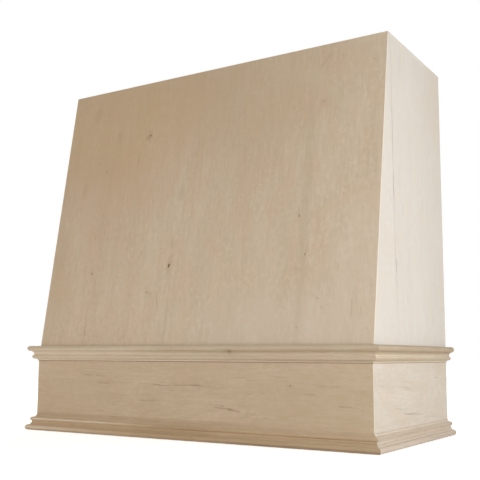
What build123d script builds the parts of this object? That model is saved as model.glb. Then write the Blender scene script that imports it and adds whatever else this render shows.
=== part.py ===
from build123d import *
from math import atan2, cos, radians, sin, tan
import os

# A wooden cover for a kitchen range hood, hung on the wall: an upright apron of solid maple,
# a casing of maple plywood whose front leans back above it, and two mitred mouldings.
# It is hollow, and open below for the hood insert and behind where the wall closes it.
# Millimetres. X runs along the wall, -Y is the front and +Z is up. The origin is the middle
# of the footprint, on the bottom edge.

inch = 25.4

# Driving dimensions
cover_width = 36 * inch  # over the apron and the side panels, without the mouldings
cover_depth = 18 * inch  # wall to the face of the apron
top_depth = 13.5 * inch  # wall to the face of the leaning front, at the top
cover_height = 35.25 * inch
apron_height = 6.875 * inch  # the front starts to lean at the top of the apron
board = 0.75 * inch  # thickness of every board and panel
eased_edge = 0.6  # how far the outer corners are sanded back

moulding_height = 1.4375 * inch
moulding_projection = 0.8125 * inch
upper_moulding_top = 8.25 * inch

duct_radius = 4.125 * inch  # clears an 8 in round duct
duct_from_wall = 6.5 * inch

stud_spacing = 16 * inch
wall_hole_radius = 9 / 64 * inch
hanging_rail_height = 3.5 * inch
apron_rail_height = 4 * inch
apron_rail_hole_drop = 1.25 * inch  # from the apron rail's top edge down to its wall holes

ledger_bottom = 2 * inch
ledger_height = 1.5 * inch
insert_hole_spacing = 24 * inch
insert_hole_radius = 1 / 16 * inch
insert_hole_depth = 1 * inch

cleat = 0.75 * inch  # thickness of the strips inside
joint_cleat_height = 2.5 * inch
corner_block_leg = 1.5 * inch

ledger_screw_spacing = 10 * inch
joint_screw_spacing = 7 * inch
side_screw_spacing = 5 * inch
top_screw_spacing = 10 * inch
top_side_screw_spacing = 7 * inch
hanging_pocket_spacing = 1.75 * inch
apron_pocket_spacing = 2.5 * inch

screw_length = 1.25 * inch
screw_radius = 2.1
screw_head_radius = 4.2
countersink_radius = 4.4
countersink_half_angle = 41
screw_tip = 5.5
recess_width = 0.9
recess_span = 4.6
recess_depth = 1.8

pocket_radius = 3 / 16 * inch
pocket_angle = 15
pocket_shoulder = 0.75 * inch  # wood between the pocket's floor and the end of the rail
pan_head_radius = 4.3
pan_head_height = 2.2
pan_head_rim = 0.5  # height of its upright edge
pan_head_shoulder = (3.8, 1.6)  # radius and height where its dome is roundest
pan_head_flat = 2.15  # radius of its level top
pan_recess_span = 2.6

brad_radius = 0.6
brad_length = 1 * inch
brad_set = 1.5  # how far the head is sunk below the moulding's face
front_brad_spacing = 6 * inch
side_brad_spacing = 4.5 * inch

biscuit_length = 56.0
biscuit_width = 23.0
biscuit_thickness = 4.0
biscuit_inset = 13.0  # from the outer corner, square to both faces
apron_biscuit_parts = (0.28, 0.72)  # shares of the apron's height, down from its top
panel_biscuit_parts = (0.1, 0.3, 0.5, 0.7, 0.9)  # shares of the leaning corner's length

# Places that follow from them
half_width = cover_width / 2
inner_half = half_width - board
wall_y = (cover_depth + moulding_projection) / 2
face_y = wall_y - cover_depth
apron_inner_y = face_y + board
lean = atan2(cover_depth - top_depth, cover_height - apron_height)
panel_bottom = cover_height - board  # underside of the top panel
rail_y = wall_y - board  # front face of both rails
hanging_rail_bottom = panel_bottom - hanging_rail_height
apron_rail_bottom = ledger_bottom
apron_rail_top = apron_rail_bottom + apron_rail_height
ledger_top = ledger_bottom + ledger_height
joint_cleat_bottom = apron_height - joint_cleat_height / 2
joint_cleat_top = apron_height + joint_cleat_height / 2
top_cleat_bottom = panel_bottom - cleat
sides = {"left": -1, "right": 1}
pieces = {}


def front_y(z):
    """The outer face of the leaning front panel at this height."""
    return face_y + (z - apron_height) * tan(lean)


def front_inner_y(z):
    return front_y(z) + board / cos(lean)


def top_cleat_inner_y():
    return front_inner_y(panel_bottom) + cleat


def mitre(side):
    """The upright mitre plane at a front corner. The side boards are on its positive side."""
    return Plane(origin=(side * half_width, face_y, 0), z_dir=(side, 1, 0))


def leaning_mitre(side):
    """The mitre plane between the leaning front panel and a side panel."""
    return Plane(
        origin=(side * half_width, face_y, apron_height),
        z_dir=(side, cos(lean), -sin(lean)),
    )


def eased_corner(side, tilt):
    """The plane that takes the sharp tip off a mitred outer corner, leaning back by tilt."""
    outward = Vector(side, -cos(tilt), sin(tilt)).normalized()
    corner = Vector(side * half_width, face_y, apron_height)
    return Plane(origin=corner - outward * eased_edge, z_dir=outward)


def spread(count, spacing):
    """Evenly spaced places about zero."""
    return [(number - (count - 1) / 2) * spacing for number in range(count)]


def strip(x_span, y_span, z_span):
    """A square-cut strip of wood between these limits."""
    x_low, x_high = x_span
    y_low, y_high = y_span
    z_low, z_high = z_span
    with BuildPart() as piece:
        with BuildSketch(Plane.XY.offset(z_low)):
            with Locations(((x_low + x_high) / 2, (y_low + y_high) / 2)):
                Rectangle(x_high - x_low, y_high - y_low)
        extrude(amount=z_high - z_low)
    return piece


def countersink(piece, places):
    """Screw holes through a piece, countersunk on the side that the places face."""
    with piece:
        with Locations(*places):
            CounterSinkHole(screw_radius, countersink_radius, screw_length)


def pilot(piece, places):
    """The end of the same holes in the piece behind."""
    with piece:
        with Locations(*places):
            Hole(screw_radius, screw_length)


# Where the screws go. Each place is at the screw's head and faces back along the screw.

front_ledger_places = [
    Plane(origin=(x, apron_inner_y + board, (ledger_bottom + ledger_top) / 2), z_dir=(0, 1, 0))
    for x in spread(4, ledger_screw_spacing)
]
back_ledger_places = [
    Plane(origin=(x, rail_y - board, (ledger_bottom + ledger_top) / 2), z_dir=(0, -1, 0))
    for x in spread(4, ledger_screw_spacing)
]
side_ledger_places = {
    name: [
        Plane(
            origin=(side * (inner_half - board), y, (ledger_bottom + ledger_top) / 2),
            z_dir=(-side, 0, 0),
        )
        for y in spread(3, side_screw_spacing)
    ]
    for name, side in sides.items()
}
joint_rows = [apron_height - joint_cleat_height / 4, apron_height + joint_cleat_height / 4]
front_joint_places = [
    Plane(origin=(x, apron_inner_y + cleat, z), z_dir=(0, 1, 0))
    for z in joint_rows
    for x in spread(5, joint_screw_spacing)
]
side_joint_places = {
    name: [
        Plane(origin=(side * (inner_half - cleat), y, z), z_dir=(-side, 0, 0))
        for z in joint_rows
        for y in spread(3, side_screw_spacing)
    ]
    for name, side in sides.items()
}
top_cleat_mid = (top_cleat_bottom + panel_bottom) / 2
front_top_cleat_places = [
    Plane(origin=(x, top_cleat_inner_y(), top_cleat_mid), z_dir=(0, 1, 0))
    for x in spread(3, top_screw_spacing)
]
top_side_mid_y = (top_cleat_inner_y() + rail_y) / 2
side_top_cleat_places = {
    name: [
        Plane(
            origin=(side * (inner_half - cleat), top_side_mid_y + y, top_cleat_mid),
            z_dir=(-side, 0, 0),
        )
        for y in spread(2, top_side_screw_spacing)
    ]
    for name, side in sides.items()
}
top_panel_front_places = [
    Plane(origin=(x, top_cleat_inner_y() - cleat / 2, cover_height), z_dir=(0, 0, 1))
    for x in spread(4, top_screw_spacing)
]
top_panel_back_places = [
    Plane(origin=(x, wall_y - board / 2, cover_height), z_dir=(0, 0, 1))
    for x in spread(4, top_screw_spacing)
]
top_panel_side_places = {
    name: [
        Plane(origin=(side * (inner_half - cleat / 2), top_side_mid_y, cover_height), z_dir=(0, 0, 1))
    ]
    for name, side in sides.items()
}


def pocket_places(name, z_middle, z_spacing):
    """Where the pocket screws' heads sit, two in each end of a rail, entering from its back."""
    side = sides[name]
    turn = radians(pocket_angle)
    back = Vector(-side * cos(turn), sin(turn), 0)
    return [
        Plane(
            origin=Vector(side * inner_half, wall_y - board / 2, z_middle + z) + back * pocket_shoulder,
            z_dir=back,
        )
        for z in spread(2, z_spacing)
    ]


hanging_rail_middle = (hanging_rail_bottom + panel_bottom) / 2
apron_rail_middle = (apron_rail_bottom + apron_rail_top) / 2
hanging_rail_pockets = {
    name: pocket_places(name, hanging_rail_middle, hanging_pocket_spacing) for name in sides
}
apron_rail_pockets = {
    name: pocket_places(name, apron_rail_middle, apron_pocket_spacing) for name in sides
}


# Biscuits lie across each mitre, with their length along the corner.


def biscuit_places(side, tilt, heights):
    """Places for biscuits at these distances up the corner from the top of the apron."""
    along = Vector(0, sin(tilt), cos(tilt))
    inward = Vector(-side, cos(tilt), -sin(tilt))
    corner = Vector(side * half_width, face_y, apron_height)
    return [
        Plane(origin=corner + along * height + inward * biscuit_inset, x_dir=along, z_dir=inward)
        for height in heights
    ]


slope_length = (cover_height - apron_height) / cos(lean)
apron_biscuits = {
    name: biscuit_places(side, 0, [-part * apron_height for part in apron_biscuit_parts])
    for name, side in sides.items()
}
panel_biscuits = {
    name: biscuit_places(side, lean, [part * slope_length for part in panel_biscuit_parts])
    for name, side in sides.items()
}

with BuildPart() as biscuit:
    with BuildSketch():
        with BuildLine():
            edge = ThreePointArc(
                (-biscuit_length / 2, 0), (0, biscuit_width / 2), (biscuit_length / 2, 0)
            )
            mirror(edge, about=Plane.XZ)
        make_face()
    extrude(amount=biscuit_thickness / 2, both=True)


def biscuit_slots(piece, places):
    with piece:
        with Locations(*places):
            add(biscuit.part, mode=Mode.SUBTRACT)


# Moulding. Its profile runs from the thick edge with its rounded nose, in through a cove, out
# round a bead and down to a thin foot. Each pair is (out from the board, along the board).

nose_radius = 6.5
nose_start = moulding_projection - nose_radius
quirk = 12.0  # the step behind the nose
cove_top = 14.0
cove_middle = (9.0, 17.4)
neck = 8.0
cove_end = 22.4
bead_tip = 11.6
bead_middle = 27.0
bead_end = 31.6
foot = 6.4  # where the bead's underside turns in to the foot
foot_thickness = 1.6
foot_start = 33.6


def moulding_profile(plane):
    """The moulding's section on a plane whose x points out of the board and whose y runs from
    the thick edge to the foot."""
    with BuildSketch(plane) as profile:
        with BuildLine():
            Line((0, 0), (nose_start, 0))
            ThreePointArc(
                (nose_start, 0), (moulding_projection, nose_radius), (nose_start, 2 * nose_radius)
            )
            Polyline((nose_start, 2 * nose_radius), (quirk, 2 * nose_radius), (quirk, cove_top))
            ThreePointArc((quirk, cove_top), cove_middle, (neck, cove_end))
            ThreePointArc((neck, cove_end), (bead_tip, bead_middle), (neck, bead_end))
            Polyline(
                (neck, bead_end),
                (foot, bead_end),
                (foot_thickness, foot_start),
                (foot_thickness, moulding_height),
                (0, moulding_height),
                (0, 0),
            )
        make_face()
    return profile


def front_moulding(base, upward):
    """The front length of a moulding, whose thick edge is at base, mitred at both corners."""
    section = Plane(origin=(0, face_y, base), x_dir=(0, -1, 0), z_dir=(-upward, 0, 0))
    with BuildPart() as piece:
        extrude(moulding_profile(section).sketch, half_width + moulding_projection, both=True)
        for side in sides.values():
            split(bisect_by=mitre(side), keep=Keep.BOTTOM)
    return piece


def side_moulding(side, base, upward):
    """The side length, mitred at the front corner and cut square at the wall."""
    section = Plane(
        origin=(side * half_width, wall_y, base), x_dir=(side, 0, 0), z_dir=(0, -side * upward, 0)
    )
    run = cover_depth + moulding_projection
    with BuildPart() as piece:
        extrude(moulding_profile(section).sketch, run, dir=(0, -1, 0))
        split(bisect_by=mitre(side), keep=Keep.TOP)
    return piece


# Apron: three boards of solid maple, mitred at the front corners

with BuildPart() as apron_front:
    with BuildSketch():
        with Locations((0, face_y + board / 2)):
            Rectangle(cover_width, board)
    extrude(amount=apron_height)
    for side in sides.values():
        split(bisect_by=mitre(side), keep=Keep.BOTTOM)
        split(bisect_by=eased_corner(side, 0), keep=Keep.BOTTOM)
pieces["apron_front"] = apron_front

for name, side in sides.items():
    with BuildPart() as apron_side:
        with BuildSketch():
            with Locations((side * (half_width - board / 2), wall_y - cover_depth / 2)):
                Rectangle(board, cover_depth)
        extrude(amount=apron_height)
        split(bisect_by=mitre(side), keep=Keep.TOP)
        split(bisect_by=eased_corner(side, 0), keep=Keep.BOTTOM)
    pieces[f"apron_{name}"] = apron_side

# Casing: the leaning front panel and the two side panels, mitred along the leaning corners

with BuildPart() as front_panel:
    with BuildSketch(Plane.YZ):
        with BuildLine():
            Polyline(
                (face_y, apron_height),
                (front_inner_y(apron_height), apron_height),
                (front_inner_y(cover_height), cover_height),
                (front_y(cover_height), cover_height),
                close=True,
            )
        make_face()
    extrude(amount=half_width, both=True)
    for side in sides.values():
        split(bisect_by=leaning_mitre(side), keep=Keep.BOTTOM)
        split(bisect_by=eased_corner(side, lean), keep=Keep.BOTTOM)
    top_edge = front_panel.edges().filter_by(Axis.X).group_by(Axis.Z)[-1].sort_by(Axis.Y)[0]
    chamfer(top_edge, eased_edge)
pieces["front_panel"] = front_panel

for name, side in sides.items():
    with BuildPart() as side_panel:
        with BuildSketch(Plane.YZ.offset(side * half_width)):
            with BuildLine():
                Polyline(
                    (face_y, apron_height),
                    (wall_y, apron_height),
                    (wall_y, cover_height),
                    (front_y(cover_height), cover_height),
                    close=True,
                )
            make_face()
        extrude(amount=-side * board)
        split(bisect_by=leaning_mitre(side), keep=Keep.TOP)
        split(bisect_by=eased_corner(side, lean), keep=Keep.BOTTOM)
        outermost = -1 if side > 0 else 0
        top_edge = side_panel.edges().filter_by(Axis.Y).group_by(Axis.Z)[-1].sort_by(Axis.X)[outermost]
        chamfer(top_edge, eased_edge)
    pieces[f"{name}_side_panel"] = side_panel

# Mouldings. The front length of the upper one is milled thicker behind its top, to fill the
# wedge where the panel leans away from it.

pieces["lower_moulding_front"] = front_moulding(0, 1)
for name, side in sides.items():
    pieces[f"lower_moulding_{name}"] = side_moulding(side, 0, 1)

with BuildPart() as upper_moulding_front:
    add(front_moulding(upper_moulding_top, -1).part)
    with BuildSketch(Plane.YZ):
        with BuildLine():
            Polyline(
                (face_y, apron_height),
                (front_y(upper_moulding_top), upper_moulding_top),
                (face_y, upper_moulding_top),
                close=True,
            )
        make_face()
    extrude(amount=half_width, both=True)
pieces["upper_moulding_front"] = upper_moulding_front
for name, side in sides.items():
    pieces[f"upper_moulding_{name}"] = side_moulding(side, upper_moulding_top, -1)

# Top panel with its duct hole, cut to the lean of the front

with BuildPart() as top_panel:
    with BuildSketch(Plane.YZ):
        with BuildLine():
            Polyline(
                (front_inner_y(panel_bottom), panel_bottom),
                (wall_y, panel_bottom),
                (wall_y, cover_height),
                (front_inner_y(cover_height), cover_height),
                close=True,
            )
        make_face()
    extrude(amount=inner_half, both=True)
    with Locations((0, wall_y - duct_from_wall, cover_height)):
        Hole(duct_radius)
pieces["top_panel"] = top_panel

# Rails across the back, with the holes for the screws into the wall studs

hanging_rail = strip((-inner_half, inner_half), (rail_y, wall_y), (hanging_rail_bottom, panel_bottom))
apron_back_rail = strip(
    (-inner_half, inner_half), (rail_y, wall_y), (apron_rail_bottom, apron_rail_top)
)
wall_hole_heights = {
    "hanging_rail": hanging_rail_middle,
    "apron_back_rail": apron_rail_top - apron_rail_hole_drop,
}
for label, rail in (("hanging_rail", hanging_rail), ("apron_back_rail", apron_back_rail)):
    with rail:
        with Locations(
            *[
                Plane(origin=(x, rail_y, wall_hole_heights[label]), z_dir=(0, -1, 0))
                for x in spread(2, stud_spacing)
            ]
        ):
            Hole(wall_hole_radius, board)
    pieces[label] = rail

# Ledger: a frame of four strips that the hood insert hangs from, with pilot holes underneath

pieces["ledger_front"] = strip(
    (-inner_half, inner_half), (apron_inner_y, apron_inner_y + board), (ledger_bottom, ledger_top)
)
pieces["ledger_back"] = strip(
    (-inner_half, inner_half), (rail_y - board, rail_y), (ledger_bottom, ledger_top)
)
for label, y in (("ledger_front", apron_inner_y + board / 2), ("ledger_back", rail_y - board / 2)):
    with pieces[label]:
        with Locations(
            *[
                Plane(origin=(x, y, ledger_bottom), z_dir=(0, 0, -1))
                for x in spread(2, insert_hole_spacing)
            ]
        ):
            Hole(insert_hole_radius, insert_hole_depth)
for name, side in sides.items():
    pieces[f"ledger_{name}"] = strip(
        sorted((side * inner_half, side * (inner_half - board))),
        (apron_inner_y + board, rail_y - board),
        (ledger_bottom, ledger_top),
    )

# Cleats over the joint of apron and panels. The front one follows the lean above the joint.

with BuildPart() as joint_cleat_front:
    with BuildSketch(Plane.YZ):
        with BuildLine():
            Polyline(
                (apron_inner_y, joint_cleat_bottom),
                (apron_inner_y + cleat, joint_cleat_bottom),
                (apron_inner_y + cleat, joint_cleat_top),
                (front_inner_y(joint_cleat_top), joint_cleat_top),
                (front_inner_y(apron_height), apron_height),
                (apron_inner_y, apron_height),
                close=True,
            )
        make_face()
    extrude(amount=inner_half, both=True)
pieces["joint_cleat_front"] = joint_cleat_front
for name, side in sides.items():
    pieces[f"joint_cleat_{name}"] = strip(
        sorted((side * inner_half, side * (inner_half - cleat))),
        (apron_inner_y + cleat, rail_y),
        (joint_cleat_bottom, joint_cleat_top),
    )

# Cleats under the top panel

with BuildPart() as top_cleat_front:
    with BuildSketch(Plane.YZ):
        with BuildLine():
            Polyline(
                (front_inner_y(top_cleat_bottom), top_cleat_bottom),
                (top_cleat_inner_y(), top_cleat_bottom),
                (top_cleat_inner_y(), panel_bottom),
                (front_inner_y(panel_bottom), panel_bottom),
                close=True,
            )
        make_face()
    extrude(amount=inner_half, both=True)
pieces["top_cleat_front"] = top_cleat_front
for name, side in sides.items():
    pieces[f"top_cleat_{name}"] = strip(
        sorted((side * inner_half, side * (inner_half - cleat))),
        (top_cleat_inner_y(), rail_y),
        (top_cleat_bottom, panel_bottom),
    )

# Glue blocks: a three-cornered block low in each front corner, and a strip up each leaning one

for name, side in sides.items():
    with BuildPart() as corner_block:
        with BuildSketch(Plane.XY.offset(ledger_top)):
            with BuildLine():
                Polyline(
                    (side * inner_half, apron_inner_y),
                    (side * (inner_half - corner_block_leg), apron_inner_y),
                    (side * inner_half, apron_inner_y + corner_block_leg),
                    close=True,
                )
            make_face()
        extrude(amount=joint_cleat_bottom - ledger_top)
    pieces[f"corner_block_{name}"] = corner_block

    with BuildPart() as corner_strip:
        with BuildSketch(Plane.XY.offset(joint_cleat_top)):
            with BuildLine():
                Polyline(
                    (side * inner_half, front_inner_y(joint_cleat_top)),
                    (side * (inner_half - cleat), front_inner_y(joint_cleat_top)),
                    (side * inner_half, front_inner_y(joint_cleat_top) + cleat),
                    close=True,
                )
            make_face()
        extrude(
            amount=(top_cleat_bottom - joint_cleat_top) / cos(lean), dir=(0, sin(lean), cos(lean))
        )
    pieces[f"corner_strip_{name}"] = corner_strip

# Holes for the fasteners

countersink(pieces["ledger_front"], front_ledger_places)
pilot(pieces["apron_front"], front_ledger_places)
countersink(pieces["ledger_back"], back_ledger_places)
pilot(pieces["apron_back_rail"], back_ledger_places)
countersink(pieces["joint_cleat_front"], front_joint_places)
pilot(pieces["apron_front"], front_joint_places)
pilot(pieces["front_panel"], front_joint_places)
countersink(pieces["top_cleat_front"], front_top_cleat_places)
pilot(pieces["front_panel"], front_top_cleat_places)
countersink(pieces["top_panel"], top_panel_front_places)
pilot(pieces["top_cleat_front"], top_panel_front_places)
countersink(pieces["top_panel"], top_panel_back_places)
pilot(pieces["hanging_rail"], top_panel_back_places)
for name in sides:
    countersink(pieces[f"ledger_{name}"], side_ledger_places[name])
    pilot(pieces[f"apron_{name}"], side_ledger_places[name])
    countersink(pieces[f"joint_cleat_{name}"], side_joint_places[name])
    pilot(pieces[f"apron_{name}"], side_joint_places[name])
    pilot(pieces[f"{name}_side_panel"], side_joint_places[name])
    countersink(pieces[f"top_cleat_{name}"], side_top_cleat_places[name])
    pilot(pieces[f"{name}_side_panel"], side_top_cleat_places[name])
    countersink(pieces["top_panel"], top_panel_side_places[name])
    pilot(pieces[f"top_cleat_{name}"], top_panel_side_places[name])

# Pocket holes in the ends of the rails, and the holes that their screws make in the sides

for rail_name, board_name, pockets in (
    ("hanging_rail", "{}_side_panel", hanging_rail_pockets),
    ("apron_back_rail", "apron_{}", apron_rail_pockets),
):
    for name in sides:
        with pieces[rail_name]:
            with Locations(*pockets[name]):
                Hole(screw_radius, screw_length)
                Cylinder(
                    pocket_radius,
                    screw_length,
                    align=(Align.CENTER, Align.CENTER, Align.MIN),
                    mode=Mode.SUBTRACT,
                )
        pilot(pieces[board_name.format(name)], pockets[name])

# Biscuit slots in both boards of each mitre

for name in sides:
    for label in ("apron_front", f"apron_{name}"):
        biscuit_slots(pieces[label], apron_biscuits[name])
    for label in ("front_panel", f"{name}_side_panel"):
        biscuit_slots(pieces[label], panel_biscuits[name])

# Brads pin the mouldings through the cove. Their holes start below its face, because the
# dimples over the heads are filled.

head_out, brad_height = cove_middle
head_out -= brad_set


def brad_places(z, side):
    """A row of brads along the front, where side is 0, or along one side."""
    if side == 0:
        return [
            Plane(origin=(x, face_y - head_out, z), z_dir=(0, -1, 0))
            for x in spread(6, front_brad_spacing)
        ]
    return [
        Plane(origin=(side * (half_width + head_out), y, z), z_dir=(side, 0, 0))
        for y in spread(4, side_brad_spacing)
    ]


brad_rows = {}
for level, z in (("lower", brad_height), ("upper", upper_moulding_top - brad_height)):
    behind = {"front": "apron_front", "left": "apron_left", "right": "apron_right"}
    if level == "upper":
        behind = {"front": "front_panel", "left": "left_side_panel", "right": "right_side_panel"}
    brad_rows[level] = []
    for run, side in (("front", 0), ("left", -1), ("right", 1)):
        places = brad_places(z, side)
        brad_rows[level] += places
        for label in (f"{level}_moulding_{run}", behind[run]):
            with pieces[label]:
                with Locations(*places):
                    Hole(brad_radius, brad_length)

# Fasteners

head_sink = (countersink_radius - screw_head_radius) / tan(radians(countersink_half_angle))
head_depth = (screw_head_radius - screw_radius) / tan(radians(countersink_half_angle))
with BuildPart() as wood_screw:
    with BuildSketch(Plane.XZ):
        with BuildLine():
            Polyline(
                (0, -head_sink),
                (screw_head_radius, -head_sink),
                (screw_radius, -head_sink - head_depth),
                (screw_radius, screw_tip - screw_length),
                (0, -screw_length),
                close=True,
            )
        make_face()
    revolve(axis=Axis.Z)
    with BuildSketch(Plane.XY.offset(-head_sink)):
        Rectangle(recess_span, recess_width)
        Rectangle(recess_width, recess_span)
    extrude(amount=-recess_depth, mode=Mode.SUBTRACT)

with BuildPart() as pocket_screw:
    with BuildSketch(Plane.XZ):
        with BuildLine():
            Line((0, pan_head_height), (pan_head_flat, pan_head_height))
            ThreePointArc(
                (pan_head_flat, pan_head_height), pan_head_shoulder, (pan_head_radius, pan_head_rim)
            )
            Polyline(
                (pan_head_radius, pan_head_rim),
                (pan_head_radius, 0),
                (screw_radius, 0),
                (screw_radius, screw_tip - screw_length),
                (0, -screw_length),
                (0, pan_head_height),
            )
        make_face()
    revolve(axis=Axis.Z)
    with BuildSketch(Plane.XY.offset(pan_head_height)):
        Rectangle(pan_recess_span, recess_width)
        Rectangle(recess_width, pan_recess_span)
    extrude(amount=-recess_depth, mode=Mode.SUBTRACT)

with BuildPart() as brad:
    Cylinder(brad_radius, brad_length, align=(Align.CENTER, Align.CENTER, Align.MAX))


def both_sides(rows):
    return rows["left"] + rows["right"]


fastener_groups = {
    "ledger_screws": (
        wood_screw,
        front_ledger_places + back_ledger_places + both_sides(side_ledger_places),
    ),
    "joint_cleat_screws": (wood_screw, front_joint_places + both_sides(side_joint_places)),
    "top_cleat_screws": (wood_screw, front_top_cleat_places + both_sides(side_top_cleat_places)),
    "top_panel_screws": (
        wood_screw,
        top_panel_front_places + top_panel_back_places + both_sides(top_panel_side_places),
    ),
    "rail_pocket_screws": (
        pocket_screw,
        both_sides(hanging_rail_pockets) + both_sides(apron_rail_pockets),
    ),
    "upper_moulding_brads": (brad, brad_rows["upper"]),
    "lower_moulding_brads": (brad, brad_rows["lower"]),
    "apron_mitre_biscuits": (biscuit, both_sides(apron_biscuits)),
    "panel_mitre_biscuits": (biscuit, both_sides(panel_biscuits)),
}
for label, (fastener, places) in fastener_groups.items():
    with BuildPart() as group:
        with Locations(*places):
            add(fastener.part)
    pieces[label] = group

os.makedirs("parts", exist_ok=True)
for label, piece in pieces.items():
    piece.part.label = label
    export_step(piece.part, f"parts/{label}.step")
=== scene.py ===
import math

import bmesh
import bpy
from mathutils import Matrix, Vector


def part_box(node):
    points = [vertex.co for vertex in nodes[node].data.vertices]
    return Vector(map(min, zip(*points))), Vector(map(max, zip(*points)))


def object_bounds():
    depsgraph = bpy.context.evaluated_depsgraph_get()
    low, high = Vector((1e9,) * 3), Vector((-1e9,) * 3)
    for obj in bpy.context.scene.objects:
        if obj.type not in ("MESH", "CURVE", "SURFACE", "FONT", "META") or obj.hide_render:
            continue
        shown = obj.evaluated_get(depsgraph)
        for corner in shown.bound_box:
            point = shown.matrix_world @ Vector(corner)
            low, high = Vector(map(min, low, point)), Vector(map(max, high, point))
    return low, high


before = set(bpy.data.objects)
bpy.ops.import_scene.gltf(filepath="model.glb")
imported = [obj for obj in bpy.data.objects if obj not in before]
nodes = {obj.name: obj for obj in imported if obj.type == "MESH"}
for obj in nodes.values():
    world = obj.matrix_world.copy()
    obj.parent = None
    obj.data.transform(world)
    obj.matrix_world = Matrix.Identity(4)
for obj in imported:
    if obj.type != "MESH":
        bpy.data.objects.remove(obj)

cadLow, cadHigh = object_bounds()
print("frame loaded:", len(nodes), "pieces of the cover")


# Places on the cover, in metres, read from its own pieces

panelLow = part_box("front_panel")[0]
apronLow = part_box("apron_left")[0]
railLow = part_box("hanging_rail")[0]
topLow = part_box("top_panel")[0]

halfWidth = -apronLow.x
wallY = cadHigh.y
faceY = panelLow.y
apronTop = panelLow.z
coverTop = cadHigh.z
boardThick = wallY - railLow.y
frontSetBack = 0.1143  # how far the front leans back on its way up
lean = math.atan2(frontSetBack, coverTop - apronTop)
upSlope = Vector((0, math.sin(lean), math.cos(lean)))


# Small helpers for node trees

def feed(tree, socket, given):
    if isinstance(given, bpy.types.NodeSocket):
        tree.links.new(given, socket)
    elif given is not None:
        socket.default_value = given


def addNode(tree, kind, feeds=None, **settings):
    node = tree.nodes.new(kind)
    for name, setting in settings.items():
        setattr(node, name, setting)
    for name, given in (feeds or {}).items():
        feed(tree, node.inputs[name], given)
    return node


def calc(tree, operation, *numbers, clamp=False):
    node = addNode(tree, "ShaderNodeMath", operation=operation, use_clamp=clamp)
    for socket, given in zip(node.inputs, numbers):
        feed(tree, socket, given)
    return node.outputs[0]


def vectorCalc(tree, operation, *vectors):
    node = addNode(tree, "ShaderNodeVectorMath", operation=operation)
    for socket, given in zip(node.inputs, vectors):
        feed(tree, socket, given)
    return node.outputs["Value" if operation in ("DOT_PRODUCT", "LENGTH") else "Vector"]


def blendColors(tree, factor, first, second, mode="MIX"):
    node = addNode(tree, "ShaderNodeMix", data_type="RGBA", blend_type=mode, clamp_factor=True)
    for index, given in ((0, factor), (6, first), (7, second)):
        feed(tree, node.inputs[index], given)
    return node.outputs[2]


def stretch(tree, number, low, high, newLow=0.0, newHigh=1.0):
    # eases low..high onto newLow..newHigh and stops there
    node = addNode(tree, "ShaderNodeMapRange", interpolation_type="SMOOTHSTEP")
    for socket, given in zip(node.inputs, (number, low, high, newLow, newHigh)):
        feed(tree, socket, given)
    return node.outputs[0]


def grainNoise(tree, vector, scale, detail=2.0, roughness=0.5, color=False):
    # noise with its own scale across, through and along the grain, in cells a metre
    sized = vectorCalc(tree, "MULTIPLY", vector, scale)
    feeds = {"Vector": sized, "Scale": 1.0, "Detail": detail, "Roughness": roughness}
    return addNode(tree, "ShaderNodeTexNoise", feeds).outputs[1 if color else 0]


def fromHalf(tree, number):
    # noise lies round one half, and this brings it round zero
    return calc(tree, "SUBTRACT", number, 0.5)


def pushNoise(tree, vector, scale, detail, roughness):
    # a push in three directions, round zero
    noise = grainNoise(tree, vector, scale, detail, roughness, color=True)
    return vectorCalc(tree, "SUBTRACT", noise, (0.5, 0.5, 0.5))


def axes(tree, vector):
    return addNode(tree, "ShaderNodeSeparateXYZ", {"Vector": vector}).outputs


def newGroup(name, inputs, outputs):
    # an input is given by its kind, or by the number that it starts at
    tree = bpy.data.node_groups.new(name, "ShaderNodeTree")
    for label, given in inputs.items():
        kind = given if isinstance(given, str) else "Float"
        socket = tree.interface.new_socket(label, in_out="INPUT", socket_type="NodeSocket" + kind)
        if kind == "Float":
            socket.default_value = given
    for label, kind in outputs.items():
        tree.interface.new_socket(label, in_out="OUTPUT", socket_type="NodeSocket" + kind)
    return tree, tree.nodes.new("NodeGroupInput").outputs, tree.nodes.new("NodeGroupOutput").inputs


def useGroup(tree, group, feeds):
    node = tree.nodes.new("ShaderNodeGroup")
    node.node_tree = group
    for name, given in feeds.items():
        feed(tree, node.inputs[name], given)
    return node.outputs


def paint(red, green, blue):
    # a screen colour, 0 to 255, as the shader's own linear colour
    shares = [part / 255 for part in (red, green, blue)]
    return tuple(s / 12.92 if s <= 0.04045 else ((s + 0.055) / 1.055) ** 2.4 for s in shares) + (1.0,)


# Wood shared by every board: rings round the heart of the log, fibres, pores, mottle, flecks and slow clouds.
# Its vector runs across, through and along the grain.

woodGrain = {
    # cells a metre across, through and along the grain
    "warp": (3.2, 3.2, 0.9), "ripple": (26, 26, 3.0), "patches": (9, 9, 4.5), "cloud": (5.0, 5.0, 3.0),
    "fine": (820, 820, 26), "middle": (190, 190, 17), "broad": (34, 34, 5.0), "dashes": (1500, 1500, 95),
    "curl": (13, 13, 60), "bend": (42, 42, 30), "figure": (95, 95, 66), "figurePatches": (13, 13, 9),
    "flecks": (125, 125, 16), "flush": (20, 20, 12), "endDots": (1900, 1900, 300),
    # how far seeds lie apart in the noise, and how far the figure bends
    "seedStep": (3.7, 1.9, 5.3), "bendReach": (0.02, 0.0, 0.03), "rippleReach": 0.004,
    # place in the year and darkness, from one spring to the next
    "yearStops": ((0.0, 0.25), (0.12, 0.0), (0.5, 0.1), (0.84, 0.5), (0.95, 1.0), (1.0, 0.25)),
    "baseTone": 0.42, "fineShare": 0.7, "broadShare": 0.8, "figureShare": 1.4, "swirlShare": 0.12,
    "fleckShare": 0.2, "endShare": 0.85,
}


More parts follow.
